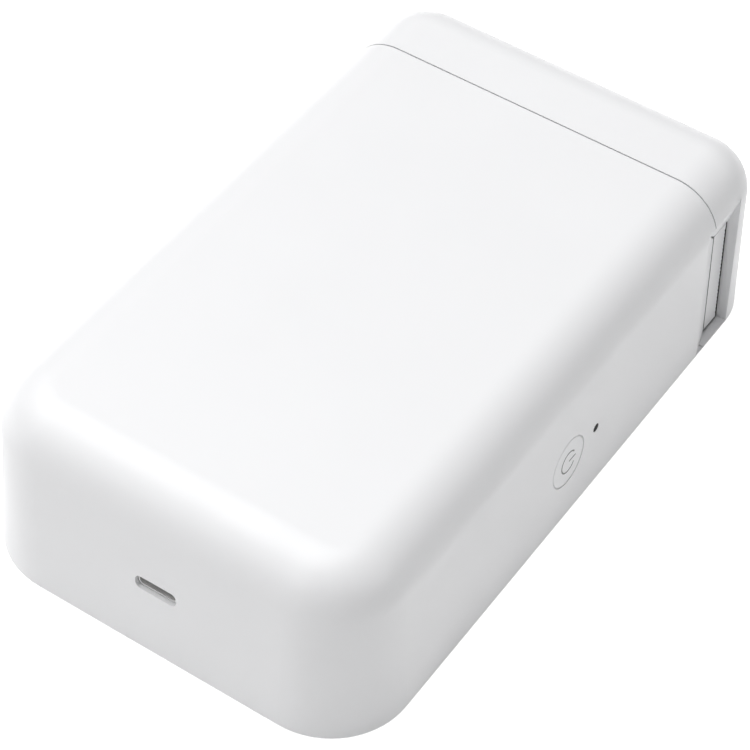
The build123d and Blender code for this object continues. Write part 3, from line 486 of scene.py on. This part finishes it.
def power_sign(ink):
    """The power sign: a ring, radius * (cos t, sin t), open towards the cover, and a bar through it."""
    middle = np.array([BUTTON_Y, BUTTON_UP])
    turn = np.linspace(SIGN_OPENING, 2 * np.pi - SIGN_OPENING, 72)
    wall_stroke("power_ring", middle + SIGN_RADIUS * np.stack([np.cos(turn), np.sin(turn)], 1), ink)
    along = np.linspace(BAR_START, BAR_END, 10)
    wall_stroke("power_bar", middle + np.stack([along, 0 * along], 1), ink)


def wall_prism(name, start, end, material, body, slot):
    """A closed solid between two rings on the right wall, each a list of (along, up, depth) in mm.

    Each point of the first ring is joined to the same point of the second by a straight edge,
    and both rings are closed by a flat face.
    """
    into_wall = np.array([[1], [1], [-1]]) * MM
    points = np.concatenate([
        wall_point(*(np.array(ring, float).T * into_wall)) for ring in (start, end)])
    count = len(start)
    i = np.arange(count)
    after = (i + 1) % count
    faces = np.stack([i, after, after + count, i + count], 1).tolist()
    faces += [i[::-1].tolist(), (i + count).tolist()]
    mesh = bpy.data.meshes.new(name)
    mesh.from_pydata(points.tolist(), [], faces)
    edit = bmesh.new()
    edit.from_mesh(mesh)
    bmesh.ops.recalc_face_normals(edit, faces=edit.faces)
    edit.to_mesh(mesh)
    edit.free()
    add_piece(mesh, material, body)


def sill_ring(along, deepest, far_slope=0.0):
    """The sill's outline at one place: up the rounded foot of the wall, in along its top, and down.

    The foot is a quarter round of radius r: at the turn t it lies r (1 - cos t) up and
    r (1 - sin t) deep, and no deeper than the recess is there.
    """
    lowest = math.asin(max(FOOT_SINE, 1 - deepest / BOTTOM_ROUND))
    turn = np.linspace(lowest, math.acos(1 - SILL_TOP / BOTTOM_ROUND), 10)
    up = BOTTOM_ROUND * (1 - np.cos(turn))
    depth = np.minimum(BOTTOM_ROUND * (1 - np.sin(turn)) + SKIN, deepest)
    up = np.append(up, [SILL_TOP, up[0]])
    depth = np.append(depth, [deepest + SKIN, deepest + SKIN])
    return np.stack([along + far_slope * (RECESS_DEPTH - depth), up, depth], 1)


def recess_sill(shell):
    """The low sill along the foot of the recess, in two pieces that part at the seam."""
    near_slope = RECESS_DEPTH / (FLOOR_NEAR - RECESS_NEAR)
    far_slope = (RECESS_FAR - FLOOR_FAR) / RECESS_DEPTH
    floor_depth = RECESS_DEPTH - 0.05
    start = 0.1
    wall_prism(
        "body_sill", sill_ring(RECESS_NEAR + start, start * near_slope),
        sill_ring(SEAM_NEAR, (SEAM_NEAR - RECESS_NEAR) * near_slope),
        shell, "printer_body", "shell_plastic")
    wall_prism(
        "cover_sill", sill_ring(SEAM_FAR, floor_depth), sill_ring(FLOOR_FAR, floor_depth, far_slope),
        shell, "cover", "shell_plastic")


def far_side(shell):
    """The steep far side of the recess: a wedge on the cover's slope, from the sill to the recess's top."""
    along, depth = FLOOR_FAR + 0.02, RECESS_DEPTH - 0.02
    low = [(along, SILL_TOP, depth), (RECESS_FAR, SILL_TOP, 2 * SKIN), (FAR_EDGE_FOOT, SILL_TOP, SKIN)]
    high = [(along, FLOOR_TOP, depth), (RECESS_FAR, FACE_TOP, 2 * SKIN), (FAR_EDGE_TOP, FACE_TOP, SKIN)]
    wall_prism("recess_far_side", low, high, shell, "cover", "shell_plastic")


def slot_shade_strip(name, along, up, depth, black, body):
    """A dark strip of painted shade, put where a gap of the recess's floor shows only shade, from and to
    the given places in mm.
    """
    corners = [(along[0], depth[0]), (along[1], depth[0]), (along[1], depth[1]), (along[0], depth[1])]
    rings = [[(place, level, inward) for place, inward in corners] for level in up]
    wall_prism(name, *rings, black, body, "black_plastic")


def slot_shade_strips(black):
    """The dark strips of painted shade in the gap beside the tear bar, the label slot and the gap under
    them.
    """
    # Painted shade: black strips stand for the shade deep in these gaps
    slot_shade_strip(
        "near_slot_shade_strip", (FLOOR_NEAR + 0.03, FLOOR_NEAR + 0.27), (0.95, 23.6), (1.92, 2.2),
        black, "printer_body")
    slot_shade_strip(
        "far_slot_shade_strip", (FLOOR_FAR - 0.12, FLOOR_FAR - 0.02), (1.0, 23.9), (1.93, 3.1),
        black, "cover")
    slot_shade_strip(
        "low_slot_shade_strip", (FLOOR_NEAR + 0.3, FLOOR_FAR - 0.55), (0.92, 1.26), (2.0, 2.3),
        black, "printer_body")


def button_gap_light_ring(shell):
    """A pale ring of painted light that fills the gap round the button, hiding the gap's shade: a tube of
    oblong section, set below the face.

    At the turn t round the button and s round the section, it lies at the radius R + w cos s and
    at the depth D - h sin s, where w is half the gap and h half the ring's depth.
    """
    turn = np.linspace(0, 2 * np.pi, 97)[:-1, None]
    section = np.linspace(0, 2 * np.pi, 9)[:-1][None, :]
    radius = GAP_MIDDLE + GAP_HALF_WIDTH * np.cos(section) + 0 * turn
    depth = GAP_RING_DEPTH - GAP_RING_HALF_DEPTH * np.sin(section) + 0 * turn
    points = wall_point(
        BUTTON_Y + radius * np.cos(turn), BUTTON_UP + radius * np.sin(turn), -depth)
    mesh = grid_mesh("button_gap_light_ring", points, closed_u=True, closed_v=True)
    mesh.shade_smooth()
    add_piece(mesh, shell, "printer_body")


# Floor, lamps and camera

# The floor's paint, what it and the sky show to the camera, and how brightly the sky lights the printer
FLOOR_PAINT, FLOOR_GLOW = (0.82, 0.82, 0.82), 0.92
SKY_LIGHT, SKY_SEEN = 0.23, 1.0


def studio_floor():
    """One wide, flat, pale sheet under the printer, which reads as white where the camera sees it."""
    finish = Finish("studio_floor")
    path = finish.node("ShaderNodeLightPath")
    seen = Signal(finish, path.outputs["Is Camera Ray"])
    for ray in ("Is Glossy Ray", "Is Transmission Ray"):
        seen = seen.highest(Signal(finish, path.outputs[ray]))
    paint = finish.node("ShaderNodeBsdfDiffuse", {}, {"Color": FLOOR_PAINT})
    glow = finish.node("ShaderNodeEmission", {}, {"Color": (1.0, 1.0, 1.0), "Strength": seen * FLOOR_GLOW})
    both = finish.node("ShaderNodeAddShader", {}, {0: paint.outputs[0], 1: glow.outputs[0]})
    output = finish.tree.nodes["Material Output"]
    finish.feed(output.inputs["Surface"], both.outputs[0])
    x, y = np.meshgrid(np.linspace(-3, 3, 25), np.linspace(-3, 3, 25), indexing="ij")
    mesh = grid_mesh("studio_floor", np.stack([x, y, 0 * x], -1))
    link_object("studio_floor", mesh, finish.material)


def lamp(name, direction, distance, size, level):
    """A soft oblong lamp aimed at the printer, from that distance and of that size in metres.

    Level is what it adds to a white face turned to it.
    """
    towards = Vector(direction).normalized()
    data = bpy.data.lights.new(name, "AREA")
    data.shape = "RECTANGLE"
    data.size, data.size_y = size
    data.energy = level * math.pi ** 2 * distance ** 2
    piece = bpy.data.objects.new(name, data)
    piece.rotation_euler = towards.to_track_quat("Z", "Y").to_euler()
    piece.location = towards * distance
    bpy.context.scene.collection.objects.link(piece)


def studio_light():
    """Three soft lamps and an even sky, which the camera and clear plastic see as white."""
    world = bpy.data.worlds.new("studio")
    bpy.context.scene.world = world
    world.use_nodes = True
    nodes, links = world.node_tree.nodes, world.node_tree.links
    background = nodes["Background"]
    background.inputs["Color"].default_value = (1.0, 1.0, 1.0, 1.0)
    path = nodes.new("ShaderNodeLightPath")
    seen = nodes.new("ShaderNodeMath")
    seen.operation = "MAXIMUM"
    links.new(path.outputs["Is Camera Ray"], seen.inputs[0])
    links.new(path.outputs["Is Transmission Ray"], seen.inputs[1])
    strength = nodes.new("ShaderNodeMapRange")
    strength.inputs["To Min"].default_value = SKY_LIGHT
    strength.inputs["To Max"].default_value = SKY_SEEN
    links.new(seen.outputs[0], strength.inputs["Value"])
    links.new(strength.outputs[0], background.inputs["Strength"])
    lamp("overhead_left", (-0.35, -0.05, 0.93), 1.2, (1.1, 1.1), 1.01)
    lamp("front_left", (-0.35, -0.73, 0.58), 1.3, (0.9, 0.6), 0.09)
    lamp("right_low", (0.9, 0.15, 0.4), 1.4, (1.0, 0.7), 0.11)


# The camera: its angles in radians, its place from the printer's origin, and its focal length
CAMERA_TURN, CAMERA_RISE, CAMERA_TIP = 0.55032, 0.82543, 0.05532
CAMERA_BACK, CAMERA_ASIDE, CAMERA_RAISED = 478.706 * MM, -1.0127 * MM, 6.0555 * MM
SENSOR_WIDTH, FOCAL_PIXELS, PICTURE_PIXELS = 36.0, 2769.159, 750


def photograph_camera():
    """The lens that fits the photographed outline: 32 degrees round, 47 up, tipped by 3.2 degrees."""
    turn, rise, tip = CAMERA_TURN, CAMERA_RISE, CAMERA_TIP
    back = Vector((
        math.sin(turn) * math.cos(rise), -math.cos(turn) * math.cos(rise), math.sin(rise)))
    right = (-back).cross(Vector((0, 0, 1))).normalized()
    up = right.cross(-back)
    level = math.cos(tip) * right + math.sin(tip) * up
    upright = math.cos(tip) * up - math.sin(tip) * right
    place = CAMERA_BACK * back + CAMERA_ASIDE * level + CAMERA_RAISED * upright
    place += Vector((0, 0, FOOT_STAND))
    data = bpy.data.cameras.new("camera")
    data.sensor_width = SENSOR_WIDTH
    data.lens = SENSOR_WIDTH * FOCAL_PIXELS / PICTURE_PIXELS
    data.clip_start = 0.01
    camera = bpy.data.objects.new("camera", data)
    axes = Matrix((level, upright, back)).transposed().to_4x4()
    camera.matrix_world = Matrix.Translation(place) @ axes
    bpy.context.scene.collection.objects.link(camera)
    bpy.context.scene.camera = camera


made = dress_nodes()
power_sign(printed_ink().material)
recess_sill(made["shell_plastic"])
far_side(made["shell_plastic"])
# Black strips of painted shade in the recess's gaps
slot_shade_strips(made["black_plastic"])
# A pale ring of painted light in the gap round the button, hiding the gap's shade
button_gap_light_ring(made["shell_plastic"])
studio_floor()
studio_light()
photograph_camera()
bpy.context.scene.view_settings.view_transform = "Standard"
